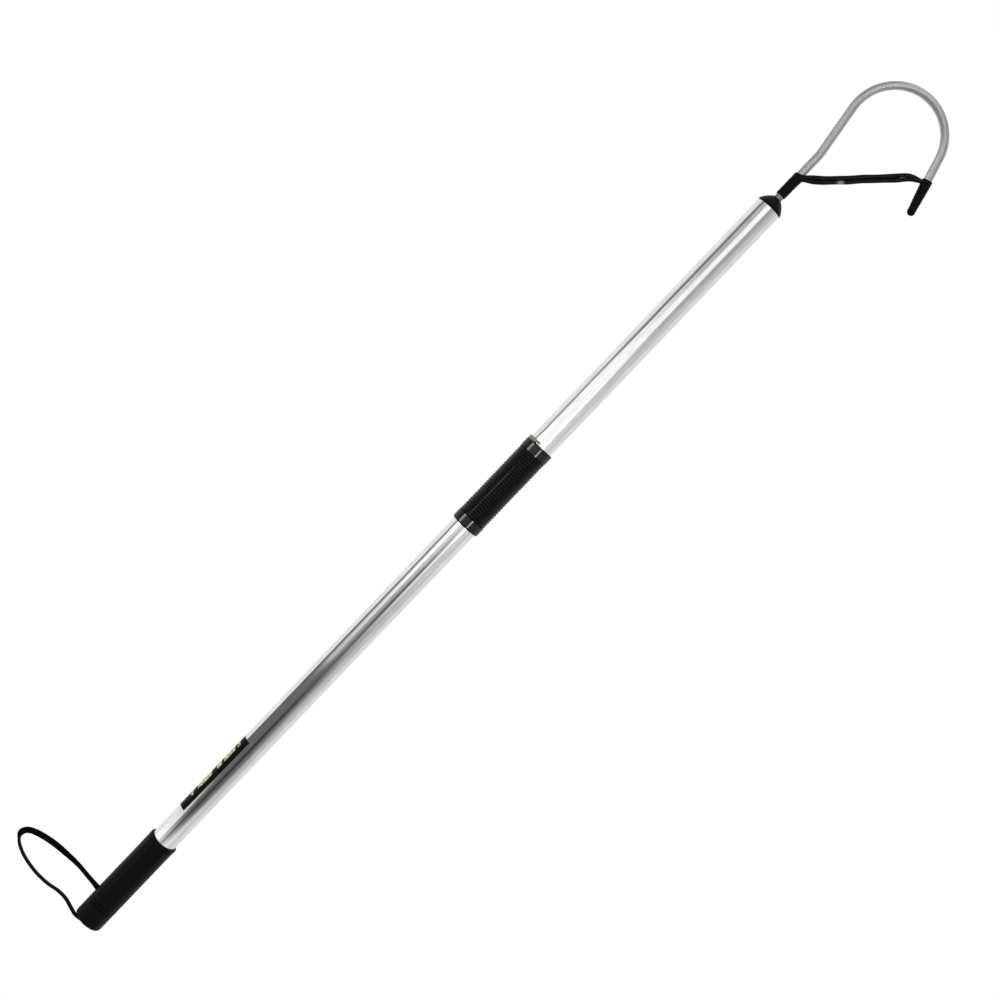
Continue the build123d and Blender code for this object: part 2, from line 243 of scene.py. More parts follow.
# ---------------------------------------------------------------- material helpers
class Nodes:
    """Short calls for the shader nodes used here."""

    def __init__(self, tree):
        self.tree = tree

    def put(self, socket, value):
        """Links a node's output to a socket, or sets the socket to a plain value."""
        if isinstance(value, bpy.types.NodeSocket):
            self.tree.links.new(value, socket)
        else:
            socket.default_value = value

    def math(self, operation, a, b=0.0):
        node = self.tree.nodes.new("ShaderNodeMath")
        node.operation = operation
        self.put(node.inputs[0], a)
        self.put(node.inputs[1], b)
        return node.outputs[0]

    def coordinates(self, attribute=None):
        """The object's own coordinates, or an attribute's value."""
        if attribute:
            node = self.tree.nodes.new("ShaderNodeAttribute")
            node.attribute_name = attribute
            return node.outputs["Vector"]
        return self.tree.nodes.new("ShaderNodeTexCoord").outputs["Object"]

    def split(self, vector):
        node = self.tree.nodes.new("ShaderNodeSeparateXYZ")
        self.put(node.inputs[0], vector)
        return node.outputs[0], node.outputs[1], node.outputs[2]

    def scaled(self, vector, scale):
        node = self.tree.nodes.new("ShaderNodeMapping")
        self.put(node.inputs["Vector"], vector)
        node.inputs["Scale"].default_value = scale
        return node.outputs[0]

    def noise(self, vector, scale, detail=3.0, rough=0.5):
        """Noise between 0 and 1; scale is features per metre, one number or three."""
        stretch = scale if isinstance(scale, tuple) else (scale, scale, scale)
        node = self.tree.nodes.new("ShaderNodeTexNoise")
        self.put(node.inputs["Vector"], self.scaled(vector, stretch))
        node.inputs["Scale"].default_value = 1.0
        node.inputs["Detail"].default_value = detail
        node.inputs["Roughness"].default_value = rough
        return node.outputs["Fac"]

    def ramp(self, value, low, high, to_low=0.0, to_high=1.0, smooth=True):
        """Maps value from low..high to to_low..to_high, clamped."""
        node = self.tree.nodes.new("ShaderNodeMapRange")
        node.interpolation_type = "SMOOTHSTEP" if smooth else "LINEAR"
        self.put(node.inputs["Value"], value)
        self.put(node.inputs["From Min"], low)
        self.put(node.inputs["From Max"], high)
        self.put(node.inputs["To Min"], to_low)
        self.put(node.inputs["To Max"], to_high)
        return node.outputs[0]

    def window(self, value, low, high, soft):
        """1 between low and high, 0 outside, with soft edges."""
        rise = self.ramp(value, low - soft, low + soft)
        fall = self.ramp(value, high - soft, high + soft, 1.0, 0.0)
        return self.math("MULTIPLY", rise, fall)

    def mix(self, share, a, b):
        """A colour between a and b."""
        node = self.tree.nodes.new("ShaderNodeMix")
        node.data_type = "RGBA"
        self.put(node.inputs[0], share)
        self.put(node.inputs[6], a if isinstance(a, bpy.types.NodeSocket) else (*a, 1.0))
        self.put(node.inputs[7], b if isinstance(b, bpy.types.NodeSocket) else (*b, 1.0))
        return node.outputs[2]

    def between(self, share, a, b):
        """A number between a and b."""
        return self.math("ADD", a, self.math("MULTIPLY", share, self.math("SUBTRACT", b, a)))

    def bump(self, height, depth, below=None):
        """Height 0..1 becomes relief of this depth, on top of an earlier relief."""
        node = self.tree.nodes.new("ShaderNodeBump")
        node.inputs["Strength"].default_value = 1.0
        node.inputs["Distance"].default_value = depth
        self.put(node.inputs["Height"], height)
        if below is not None:
            self.put(node.inputs["Normal"], below)
        return node.outputs[0]

    def trapezoid(self, value, rise_from, rise_to, fall_from, fall_to):
        """0 outside, 1 in the middle, with smooth slopes between the given values."""
        rise = self.ramp(value, rise_from, rise_to)
        fall = self.ramp(value, fall_from, fall_to, 1.0, 0.0)
        return self.math("MULTIPLY", rise, fall)

    def degrees_about_pole(self, vector):
        """Angle about the pole, from straight up towards +Y."""
        _, y, z = self.split(vector)
        return self.math("MULTIPLY", self.math("ARCTAN2", y, z), 180 / pi)


class Finish(Nodes):
    """A material being built."""

    def __init__(self, name):
        self.material = bpy.data.materials.new(name)
        self.material.use_nodes = True
        super().__init__(self.material.node_tree)
        self.surface = self.tree.nodes["Principled BSDF"]

    def set(self, **values):
        """Sets inputs of the surface; Base_Color stands for Base Color."""
        for key, value in values.items():
            self.put(self.surface.inputs[key.replace("_", " ")], value)


# ---------------------------------------------------------------- materials
def polished_aluminium():
    """Drawn tube: bright, with fine lines and long soft waves along its length, and dull smudges."""
    s = Finish("polished_aluminium")
    place = s.coordinates()
    lines = s.ramp(s.noise(place, (9, 900, 900), 4, 0.65), 0.3, 0.7)
    waves = s.noise(place, (12, 110, 110), 2)
    smudges = s.ramp(s.noise(place, (70, 240, 240), 4, 0.65), 0.35, 0.68)
    scuffs = s.ramp(s.noise(place, (30, 700, 700), 3), 0.64, 0.74)
    relief = s.bump(waves, 0.05 * MM)
    relief = s.bump(lines, 0.0004 * MM, relief)
    clean = s.mix(lines, (0.83, 0.827, 0.82), (0.95, 0.947, 0.94))
    dulled = s.mix(s.math("MULTIPLY", smudges, 0.7), clean, (0.76, 0.757, 0.75))
    s.set(
        Base_Color=s.mix(scuffs, dulled, (0.785, 0.782, 0.775)),
        Metallic=1.0,
        Roughness=s.ramp(smudges, 0.0, 1.0, 0.012, 0.025),
        Normal=relief,
    )
    return s.material


def grip_rubber(name="grip_rubber", seam=None, glossy_ends=None):
    """Black rubber: matt and slightly dusty where it is ribbed, shiny on the smooth bands at its ends.

    seam is (angle about the pole, start, end, highlight_grey) of a painted highlight along a moulding
    seam, and glossy_ends is (start, end, band) along the pole.
    """
    s = Finish(name)
    place = s.coordinates()
    x, _, _ = s.split(place)
    grain = s.noise(place, 1200, 2)
    blotches = s.noise(place, (60, 140, 140), 4, 0.6)
    colour = s.mix(blotches, (0.0015, 0.0015, 0.0016), (0.003, 0.003, 0.0032))
    rough = s.ramp(blotches, 0.3, 0.7, 0.38, 0.46)
    shine = 0.09
    if seam:
        angle, start, end, highlight_grey = seam
        # painted highlight: a grey line along the seam, standing in for the seam's glint
        seam_highlight = s.window(s.degrees_about_pole(place), degrees(angle) - 1.2, degrees(angle) + 1.2, 0.8)
        seam_highlight = s.math("MULTIPLY", seam_highlight, s.window(x, start, end, 1.0 * MM))
        seam_highlight = s.math("MULTIPLY", seam_highlight, s.ramp(blotches, 0.25, 0.6))
        colour = s.mix(seam_highlight, colour, (highlight_grey, highlight_grey, highlight_grey))
    if glossy_ends:
        start, end, band = glossy_ends
        ribbed = s.window(x, start + band, end - band, 0.3 * MM)
        rough = s.between(ribbed, 0.08, 0.27)
        colour = s.mix(ribbed, (0.0015, 0.0015, 0.0015), colour)
        shine = s.between(ribbed, 0.36, 0.17)
    s.set(
        Base_Color=colour,
        Roughness=rough,
        Specular_IOR_Level=shine,
        Normal=s.bump(grain, 0.002 * MM),
    )
    return s.material


def moulded_plastic():
    """Black moulded plastic with a fine spark texture."""
    s = Finish("nose_plastic")
    place = s.coordinates()
    spark = s.noise(place, 4200, 2)
    cloud = s.noise(place, 220, 3)
    s.set(
        Base_Color=s.mix(cloud, (0.0022, 0.002, 0.0021), (0.004, 0.0037, 0.0038)),
        Roughness=s.ramp(cloud, 0.3, 0.7, 0.38, 0.5),
        Specular_IOR_Level=0.09,
        Normal=s.bump(spark, 0.004 * MM),
    )
    return s.material


def sleeve_rubber():
    """Soft shrunk tubing and the point guard: black, satin, slightly uneven."""
    s = Finish("sleeve_rubber")
    place = s.coordinates()
    uneven = s.noise(place, 300, 3)
    grain = s.noise(place, 3200, 2)
    s.set(
        Base_Color=s.mix(uneven, (0.0016, 0.0015, 0.0017), (0.003, 0.0029, 0.0032)),
        Roughness=s.ramp(uneven, 0.3, 0.7, 0.36, 0.5),
        Specular_IOR_Level=0.09,
        Normal=s.bump(grain, 0.003 * MM, s.bump(uneven, 0.05 * MM)),
    )
    return s.material


def hook_steel():
    """Satin stainless wire, brushed along its length, with duller patches and painted shade up to the sleeve.
    """
    s = Finish("hook_steel")
    along = s.coordinates("unbent")
    brushing = s.noise(along, (25, 2600, 2600), 3)
    patches = s.noise(along, (90, 260, 260), 4, 0.6)
    distance, _, _ = s.split(along)
    # painted shade: the wire is darker up to the sleeve, where it runs between the black nose and sleeve
    clear_of_painted_shade = s.ramp(distance, SLEEVE_START - HOOK_TAIL, SLEEVE_END - HOOK_TAIL)
    satin = s.mix(patches, (0.42, 0.415, 0.40), (0.52, 0.515, 0.50))
    s.set(
        Base_Color=s.mix(clear_of_painted_shade, (0.24, 0.24, 0.235), satin),
        Metallic=1.0,
        Roughness=s.ramp(patches, 0.3, 0.7, 0.34, 0.42),
        Normal=s.bump(brushing, 0.0004 * MM),
    )
    return s.material


def woven_cord():
    """Flat woven nylon: dull black, a little paler where the threads cross."""
    s = Finish("cord")
    along = s.coordinates("unbent")
    distance, across, _ = s.split(along)
    pick = 1.1 * MM
    there = s.math("SINE", s.math("MULTIPLY", s.math("ADD", distance, across), 2 * pi / pick))
    back = s.math("SINE", s.math("MULTIPLY", s.math("SUBTRACT", distance, across), 2 * pi / pick))
    weave = s.ramp(s.math("MULTIPLY", there, back), -1.0, 1.0)
    fuzz = s.noise(along, 3000, 3)
    s.set(
        Base_Color=s.mix(weave, (0.0005, 0.0005, 0.0006), (0.004, 0.004, 0.0045)),
        Roughness=s.ramp(fuzz, 0.3, 0.7, 0.5, 0.7),
        Specular_IOR_Level=0.04,
        Normal=s.bump(fuzz, 0.02 * MM, s.bump(weave, 0.12 * MM)),
    )
    return s.material


def glossy_elastic():
    """Black elastic with faint ribs along it, and a painted highlight on one side at one place."""
    s = Finish("elastic")
    along = s.coordinates("unbent")
    wave = s.noise(along, (60, 400, 400), 3)
    lines = s.noise(along, (20, 3000, 3000), 2)
    distance, _, across = s.split(along)
    # painted highlight: a pale patch on one side, about a third of the way along
    painted_glint = s.window(distance, 34 * MM, 38 * MM, 3.0 * MM)
    painted_glint = s.math("MULTIPLY", painted_glint, s.ramp(across, -0.2 * MM, 2.2 * MM))
    black = s.mix(wave, (0.0015, 0.0017, 0.0017), (0.003, 0.0033, 0.0033))
    s.set(
        Base_Color=s.mix(painted_glint, black, (0.42, 0.42, 0.42)),
        Roughness=s.ramp(wave, 0.3, 0.7, 0.28, 0.36),
        Specular_IOR_Level=0.12,
        Normal=s.bump(lines, 0.004 * MM, s.bump(wave, 0.06 * MM)),
    )
    return s.material


def label_foil():
    """Black film with a plain row of worn cream bars."""
    s = Finish("label_foil")
    place = s.coordinates()
    x, _, _ = s.split(place)
    angle = s.degrees_about_pole(place)
    slant = s.math("ADD", x, s.math("MULTIPLY", angle, -0.05 * MM))
    row = s.window(angle, LABEL_MARKS_FROM, LABEL_MARKS_TO, 2.0)
    marks = 0.0
    for start, length in LABEL_BARS:
        left = LABEL_START + start * MM
        bar = s.window(slant, left, left + length * MM, 0.35 * MM)
        marks = s.math("MAXIMUM", marks, s.math("MULTIPLY", bar, row))
    wear = s.ramp(s.noise(place, (520, 420, 420), 2, 0.6), 0.36, 0.48)
    marks = s.math("MULTIPLY", marks, wear)
    creases = s.noise(place, (90, 200, 200), 3)
    s.set(
        Base_Color=s.mix(marks, (0.003, 0.003, 0.0028), (0.88, 0.80, 0.52)),
        Roughness=s.ramp(marks, 0.0, 1.0, 0.25, 0.45),
        Specular_IOR_Level=0.08,
        Normal=s.bump(marks, 0.02 * MM, s.bump(creases, 0.03 * MM)),
    )
    return s.material


def cured_glue():
    """Greyish cream contact glue, lumpy and slightly shiny."""
    s = Finish("adhesive")
    place = s.coordinates()
    lumps = s.noise(place, 900, 4, 0.6)
    s.set(
        Base_Color=s.mix(lumps, (0.20, 0.20, 0.14), (0.44, 0.43, 0.35)),
        Roughness=s.ramp(lumps, 0.3, 0.7, 0.3, 0.55),
        Normal=s.bump(lumps, 0.25 * MM),
    )
    return s.material


def foam():
    """Closed-cell foam."""
    s = Finish("foam")
    place = s.coordinates()
    node = s.tree.nodes.new("ShaderNodeTexVoronoi")
    s.put(node.inputs["Vector"], s.scaled(place, (900, 900, 900)))
    cells = node.outputs["Distance"]
    s.set(
        Base_Color=s.mix(cells, (0.03, 0.03, 0.034), (0.14, 0.14, 0.15)),
        Roughness=0.85,
        Normal=s.bump(cells, 0.2 * MM),
    )
    return s.material


def fastener_steel():
    """Stainless nuts and washers with turning marks."""
    s = Finish("fastener_steel")
    place = s.coordinates()
    rings = s.noise(place, (3000, 200, 200), 2)
    stains = s.noise(place, 400, 4)
    s.set(
        Base_Color=s.mix(stains, (0.44, 0.44, 0.42), (0.62, 0.62, 0.60)),
        Metallic=1.0,
        Roughness=s.ramp(stains, 0.3, 0.7, 0.25, 0.4),
        Normal=s.bump(rings, 0.01 * MM),
    )
    return s.material


def paint(piece, material):
    piece.data.materials.clear()
    piece.data.materials.append(material)
    return piece


def finish_piece(piece, material, slot, body, *nodes):
    """Paints a new piece, hides the nodes it stands for, and lets it ride on its body."""
    paint(piece, material)
    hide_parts(*nodes)
    if body:
        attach(piece, body)
    return piece


# ---------------------------------------------------------------- pole
def tube():
    """The aluminium tube, with a small rounded lip at each end."""
    lip = 0.4 * MM
    outline = [
        *arc(TUBE_START + lip, TUBE_R - lip, lip, 180, 90, 5)[:-1],
        *level(TUBE_START + lip, TUBE_END - lip, TUBE_R, 120),
        *arc(TUBE_END - lip, TUBE_R - lip, lip, 90, 0, 5)[1:],
        (TUBE_END, BORE_R),
        (TUBE_START, BORE_R),
    ]
    piece = turned("tube_shell", outline, segments=192)
    return finish_piece(piece, polished_aluminium(), "polished_aluminium", "pole", "main_tube")


def ridge(angle, at, width, height):
    """Height of a thin moulding seam that runs along the pole at one angle about it."""
    away = (angle - at + pi) % (2 * pi) - pi
    return height * exp(-((away * GRIP_R / width) ** 2))


def cap():
    """The butt's rubber cap: a rounded edge, a shallow step to the grip and the cord's hole."""
    edge = 3.0 * MM
    hole = 3.0 * MM
    flare = 2.0 * MM
    step = 0.4 * MM
    nub = CAP_END - 1.2 * MM
    nub_length = 0.7 * MM
    outline = [
        (TUBE_START, hole),
        *arc(CAP_START + flare, hole + flare, flare, 270, 180, 6),
        *arc(CAP_START + edge, CAP_R - edge, edge, 180, 90, 10)[:-1],
        *level(CAP_START + edge, CAP_END - 0.5 * MM, CAP_R, 40),
        (CAP_END, CAP_R - step),
        (CAP_END, TUBE_R),
        (TUBE_START, TUBE_R),
    ]

    def sag(x, angle):
        near = exp(-(((x - nub) / nub_length) ** 2))
        return 0.06 * MM * sin(2 * angle + 1.0) + near * ridge(angle, BUTT_SEAM, 0.7 * MM, 0.35 * MM)

    piece = turned("butt_cap_shell", outline, segments=256, bulge=sag)
    return finish_piece(piece, grip_rubber("cap_rubber"), "grip_rubber", "pole", "butt_cap")


def ribbed_grip(name, start, end, band, ribs, depth, seam, rubber, node, slip=None):
    """A grip with a smooth band at each end, rounded ribs between and a moulding seam along it."""
    corner = 1.5 * MM
    valley = 0.3 * MM
    hold = 0.2 * MM  # a narrow ring beside each edge keeps the band's shading flat up to it
    crest = GRIP_R - depth / 3
    outline = [
        (start, TUBE_R),
        *arc(start + corner, GRIP_R - corner, corner, 180, 90, 6),
        (start + corner + hold, GRIP_R),
        (start + band - valley - hold, GRIP_R),
        (start + band - valley, GRIP_R),
        *rib_run(start + band, crest, end - band, crest, ribs, depth),
        (end - band + valley, GRIP_R),
        (end - band + valley + hold, GRIP_R),
        (end - corner - hold, GRIP_R),
        *arc(end - corner, GRIP_R - corner, corner, 90, 0, 6),
        (end, TUBE_R),
    ]

    fade = 2 * MM

    def uneven(x, angle):
        wave = sin(3 * angle + x * 160) + sin(2 * angle - x * 90 + 2.0)
        seam_part = min(1.0, max(0.0, (x - start - band) / fade), max(0.0, (end - band - x) / fade))
        return 0.03 * MM * wave + seam_part * ridge(angle, seam, 0.45 * MM, 0.3 * MM)

    piece = turned(name, outline, segments=288, bulge=uneven, slip=slip)
    return finish_piece(piece, rubber, "grip_rubber", "pole", node)


def butt_grip():
    """The grip at the butt, whose front edge is cut a little askew."""
    band, ribs, depth = 4 * MM, 28, 0.3 * MM
    reach = 8 * MM

    def askew(x, angle):
        near_edge = min(1.0, max(0.0, 1 - (BUTT_END - x) / reach))
        return near_edge * (0.75 * MM - 1.05 * MM * cos(angle))

    # the seam's faint grey, 0.012, is a painted highlight
    rubber = grip_rubber("butt_grip_rubber", (BUTT_SEAM, BUTT_START, BUTT_END, 0.012))
    return ribbed_grip(
        "butt_grip_shell", BUTT_START, BUTT_END, band, ribs, depth, BUTT_SEAM, rubber, "butt_grip", askew
    )


def mid_grip():
    """The middle grip: deep ribs between two wide bands, and a painted grey highlight along most of its seam.
    """
    ribs, depth = 27, 0.7 * MM
    # the seam's grey, 0.10, is a painted highlight
    seam = (MID_SEAM, MID_START + MID_BAND, MID_SEAM_HIGHLIGHT_END, 0.10)
    rubber = grip_rubber("mid_grip_rubber", seam, (MID_START, MID_END, MID_BAND))
    return ribbed_grip(
        "mid_grip_shell", MID_START, MID_END, MID_BAND, ribs, depth, MID_SEAM, rubber, "mid_grip"
    )


def glue_dab():
    """A lumpy dab squeezed out over the middle grip's upper edge."""
    around = [radians(a) for a in range(8, 84, 3)]
    height = GRIP_R - 0.6 * MM
    middle = MID_END + 1.2 * MM
    wander = 0.5 * MM
    rise, spread = 1.25, 1.9
    line = [(middle + wander * sin(5 * a), height * sin(a), height * cos(a)) for a in around]
    points, at = smooth_line(line, 60)
    total = at[-1]

    def section(distance):
        share = distance / total
        swell = sqrt(max(0.0, sin(pi * share)))
        lumps = 1 + 0.22 * sin(share * 21) + 0.15 * sin(share * 47 + 1)
        size = swell * lumps * MM
        return [(rise * size * c, spread * size * s) for c, s in circle_section(1, 20)]

    piece = swept("glue_dab", points, at, (0, 0.6, 0.8), section)
    return finish_piece(piece, cured_glue(), "adhesive", "pole", "mid_grip_adhesive")


def label():
    """A thin foil strip stuck on slightly askew, with lifted corners at its ends."""
    thick = 0.12 * MM
    gap = 0.02 * MM
    corner_lift = 0.25 * MM
    from_angle, sweep = radians(27.5), radians(134)
    skew = radians(-4)
    rows, columns = 60, 48
    vertices, faces = [], []
    for layer in (thick, 0.0):
        for i in range(rows + 1):
            share = i / rows
            for j in range(columns + 1):
                angle = from_angle + skew * share + sweep * j / columns
                lift = corner_lift * (abs(2 * share - 1) ** 30) * (j == 0)
                r = TUBE_R + gap + layer + lift
                x = LABEL_START + (LABEL_END - LABEL_START) * share
                vertices.append((x, r * sin(angle), r * cos(angle)))
    layer_size = (rows + 1) * (columns + 1)

    def at(i, j, layer):
        return layer * layer_size + i * (columns + 1) + j

    for i in range(rows):
        for j in range(columns):
            for layer in (0, 1):
                faces.append(tuple(at(i + a, j + b, layer) for a, b in ((0, 0), (1, 0), (1, 1), (0, 1))))
    for i in range(rows):
        for j in (0, columns):
            faces.append((at(i, j, 0), at(i + 1, j, 0), at(i + 1, j, 1), at(i, j, 1)))
    for j in range(columns):
        for i in (0, rows):
            faces.append((at(i, j, 0), at(i, j + 1, 0), at(i, j + 1, 1), at(i, j, 1)))
    piece = new_mesh("label_strip", vertices, faces)
    return finish_piece(piece, label_foil(), "label_foil", "pole", "label")


def nose():
    """The conical plug: a convex cone outside and a spigot in the tube."""
    rim = 1.9 * MM
    spigot = 22 * MM
    slack = 0.1 * MM
    tip_r = 4.4 * MM
    flange = 0.2 * MM
    cone = []
    steps = 18
    for i in range(steps + 1):
        share = i / steps
        r = TUBE_R - (TUBE_R - tip_r) * (0.66 * share + 0.34 * share**3)
        cone.append((TUBE_END + rim + (NOSE_TIP - TUBE_END - rim) * share, r + flange * (1 - share)))
    outline = [
        (TUBE_END - spigot, WIRE_R),
        (TUBE_END - spigot, BORE_R - slack),
        (TUBE_END, BORE_R - slack),
        (TUBE_END, TUBE_R + flange),
        *cone,
        (NOSE_TIP, WIRE_R),
    ]
    piece = turned("nose_cone", outline)
    return finish_piece(piece, moulded_plastic(), "nose_plastic", "pole", "nose_plug")


# ---------------------------------------------------------------- hook
SHANK_OUT = 64 * MM
BEND_RADIUS = 30 * MM
BEND_ANGLE = radians(8.75)
BEND_TO_THROAT = 49 * MM
THROAT_RADIUS = 45.3 * MM
THROAT_TURN = radians(172.3)
POINT_LEG = 26 * MM
POINT_LENGTH = 26 * MM


def hook_line(step=1.0 * MM):
    """Points along the wire's centre line, from its tail in the tube to the tip of the point."""
    heading = 0.0
    place = Vector((HOOK_TAIL, 0, 0))
    points = [place.copy()]
    runs = (
        (TUBE_END + SHANK_OUT - HOOK_TAIL, 0.0),
        (BEND_RADIUS * BEND_ANGLE, 1 / BEND_RADIUS),
        (BEND_TO_THROAT, 0.0),
        (THROAT_RADIUS * THROAT_TURN, -1 / THROAT_RADIUS),
        (POINT_LEG + POINT_LENGTH, 0.0),
    )
    for length, curve in runs:
        count = max(2, round(length / step))
        stride = length / count
        for _ in range(count):
            middle = heading + curve * stride / 2
            place = place + Vector((cos(middle), sin(middle), 0)) * stride
            heading += curve * stride
            points.append(place.copy())
    return np.array([tuple(p) for p in points]), heading


def leg_place():
    """Where the point leg starts, as a matrix whose X runs along the leg to the point."""
    points, heading = hook_line()
    tip = Vector(points[-1])
    along = Vector((cos(heading), sin(heading), 0))
    start = tip - along * (POINT_LEG + POINT_LENGTH)
    side = Vector((0, 0, 1)).cross(along)
    matrix = Matrix.Identity(4)
    for column, axis in enumerate((along, side, Vector((0, 0, 1)), start)):
        for row in range(3):
            matrix[row][column] = axis[row]
    return matrix


def hook():
    """The wire, swept as one piece from its tail to its sharp point."""
    points, _ = hook_line()
    steps = np.linalg.norm(np.diff(points, axis=0), axis=1)
    at = np.concatenate([[0], np.cumsum(steps)])
    total = at[-1]

    def section(distance):
        left = total - distance
        share = min(1.0, left / POINT_LENGTH)
        r = WIRE_R * (1 - (1 - share) ** 1.6)
        return circle_section(r, 48)

    piece = swept("hook_wire", points, at, (0, 0, 1), section)
    return finish_piece(piece, hook_steel(), "hook_steel", "pole", "hook")


def sleeve():
    """Shrunk tubing on the shank, swollen on the side where the tether's end lies under it."""
    corner = 0.5 * MM
    outline = [
        (SLEEVE_START, WIRE_R),
        *arc(SLEEVE_START + corner, SLEEVE_R - corner, corner, 180, 90, 4)[:-1],
        *level(SLEEVE_START + corner, SLEEVE_END - corner, SLEEVE_R, 26),
        *arc(SLEEVE_END - corner, SLEEVE_R - corner, corner, 90, 0, 4)[1:],
        (SLEEVE_END, WIRE_R),
    ]

    def swell(x, angle):
        share = (x - SLEEVE_START) / (SLEEVE_END - SLEEVE_START)
        under = max(0.0, -sin(angle)) ** 2 * max(0.0, share - 0.35)
        ripple = 0.12 * MM * sin(share * 23) * sin(angle + share * 9)
        return 0.9 * MM * under + ripple

    def slanted(x, angle):
        share = (x - SLEEVE_START) / (SLEEVE_END - SLEEVE_START)
        return -1.3 * MM * max(0.0, share - 0.7) / 0.3 * sin(angle)

    piece = turned("shank_sleeve_skin", outline, bulge=swell, slip=slanted)
    return finish_piece(piece, sleeve_rubber(), "sleeve_rubber", "pole", "shank_sleeve")


# ---------------------------------------------------------------- point guard and tether
GUARD_START = 22 * MM
GUARD_LENGTH = 35 * MM
GUARD_OPEN_R = 5.1 * MM
GUARD_TIP_R = 3.8 * MM
TETHER_STRAND_R = 2.05 * MM
TETHER_SPREAD = 1.95 * MM
# How the tether wanders off the straight line: share of its length, rise in mm
TETHER_BOW = ((0.1, -1.2), (0.22, -1.3), (0.4, -0.4), (0.7, 1.1), (0.9, 2.2))


def guard():
    """The ribbed rubber sheath over the point."""
    lip, pitch, ribs, depth = 1.0 * MM, 2.25 * MM, 11, 0.24 * MM
    edge = 0.4 * MM
    end = GUARD_START + GUARD_LENGTH
    ribs_from = GUARD_START + lip
    ribs_to = ribs_from + ribs * pitch
    slope = (GUARD_TIP_R - GUARD_OPEN_R) / (end - GUARD_TIP_R - ribs_from)
    bore = WIRE_R + 0.05 * MM
    outline = [
        (GUARD_START, bore),
        *arc(GUARD_START + edge, GUARD_OPEN_R - edge, edge, 180, 90, 4),
        *rib_run(ribs_from, GUARD_OPEN_R, ribs_to, GUARD_OPEN_R + slope * (ribs_to - ribs_from), ribs, depth),
        (end - GUARD_TIP_R, GUARD_TIP_R),
        *arc(end - GUARD_TIP_R, 0, GUARD_TIP_R, 80, 0, 10)[:-1],
        (end, 0),
        (end - 2 * MM, 0),
        (end - 8 * MM, 1.4 * MM),
        (POINT_LEG + 8 * MM, 3.2 * MM),
        (POINT_LEG, bore),
    ]

    def soft(x, angle):
        return 0.05 * MM * sin(2 * angle + x * 120)

    piece = turned("point_guard_sheath", outline, bulge=soft, place=leg_place())
    return finish_piece(piece, sleeve_rubber(), "sleeve_rubber", "point_guard", "tip_guard")


def tether_line():
    """From under the sleeve's end, over the wire's lower side, to the guard's inner side."""
    place = leg_place()
    start = Vector((SLEEVE_END - 3.6 * MM, -3.2 * MM, 2.4 * MM))
    over = Vector((SLEEVE_END - 0.6 * MM, -5.0 * MM, 3.0 * MM))
    guard_side = place @ Vector((GUARD_START + 3.2 * MM, -GUARD_OPEN_R + 0.8 * MM, 0))
    near_guard = place @ Vector((GUARD_START + 3.2 * MM, -GUARD_OPEN_R - 2.6 * MM, 0))
    chord = near_guard - over
    bow = Vector((0, 0, 1)).cross(chord).normalized()
    middle = [over + chord * share + bow * rise * MM for share, rise in TETHER_BOW]
    return smooth_line([start, over, *middle, near_guard, guard_side], 170)


def tether():
    """Two elastic strands side by side, turned edge-on at both ends."""
    line, at = tether_line()
    total = at[-1]

    def turn(distance):
        share = distance / total
        entering = max(0.0, 1 - share / 0.22)
        leaving = max(0.0, (share - 0.8) / 0.2)
        wander = 0.22 * sin(2 * pi * (share - 0.12) * 2) * sin(pi * share)
        return radians(50) * entering**1.5 - radians(65) * leaving**1.5 + wander

    strands = []
    for side in (-1, 1):

        def section(distance, side=side):
            share = distance / total
            apart = TETHER_SPREAD * (1 + 0.10 * sin(share * 17 + side)) * min(1.0, 0.6 + 4 * share)
            fat = 1 + 0.06 * sin(share * 31 + 2 * side)
            flat = 0.72 * TETHER_STRAND_R * fat
            return [
                (flat * c, side * apart + TETHER_STRAND_R * s * fat)
                for c, s in circle_section(1, 24)
            ]

        strands.append(swept("strand", line, at, (0, 0, 1), section, turn))
    piece = joined("tether_elastic", strands)
    finish_piece(piece, glossy_elastic(), "elastic", None, "tether")
    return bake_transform(piece)


# ---------------------------------------------------------------- wrist loop
CORD_HALF_WIDTH = 3.1 * MM
CORD_HALF_THICKNESS = 0.95 * MM
FLOOR_SAG = -12.5  # height in mm of the loop's far part, which hangs lowest

# The cord's centre line in millimetres: out of the cap's centre, round the loop, in at the side
CORD_LINE = (
    (15, 0, 0),
    (4.5, 0, 0),
    (-0.2, 1.6, 1.3),
    (-1.1, 6.0, 4.8),
    (-1.2, 11.5, 5.9),
    (-1.2, 16.0, 3.6),
    (-0.8, 22.0, 0.0),
    (-0.6, 29.3, -4.5),
    (-2.0, 39.5, -8.8),
    (-5.2, 52.0, -11.8),
    (-5.6, 66.0, FLOOR_SAG),
    (-3.5, 79.7, FLOOR_SAG),
    (0.2, 91.0, FLOOR_SAG),
    (5.6, 99.6, FLOOR_SAG),
    (13.0, 103.4, FLOOR_SAG),
    (19.2, 100.0, FLOOR_SAG),
    (23.5, 91.0, FLOOR_SAG),
    (26.8, 76.0, FLOOR_SAG),
    (28.1, 60.0, FLOOR_SAG),
    (28.9, 43.0, -11),
    (29.4, 28.4, -6),
    (31.0, 17.5, 1.2),
    (31.0, 12.5, 2.8),
    (29.8, 6.0, 2.0),
    (23.3, 0.5, 0.3),
)


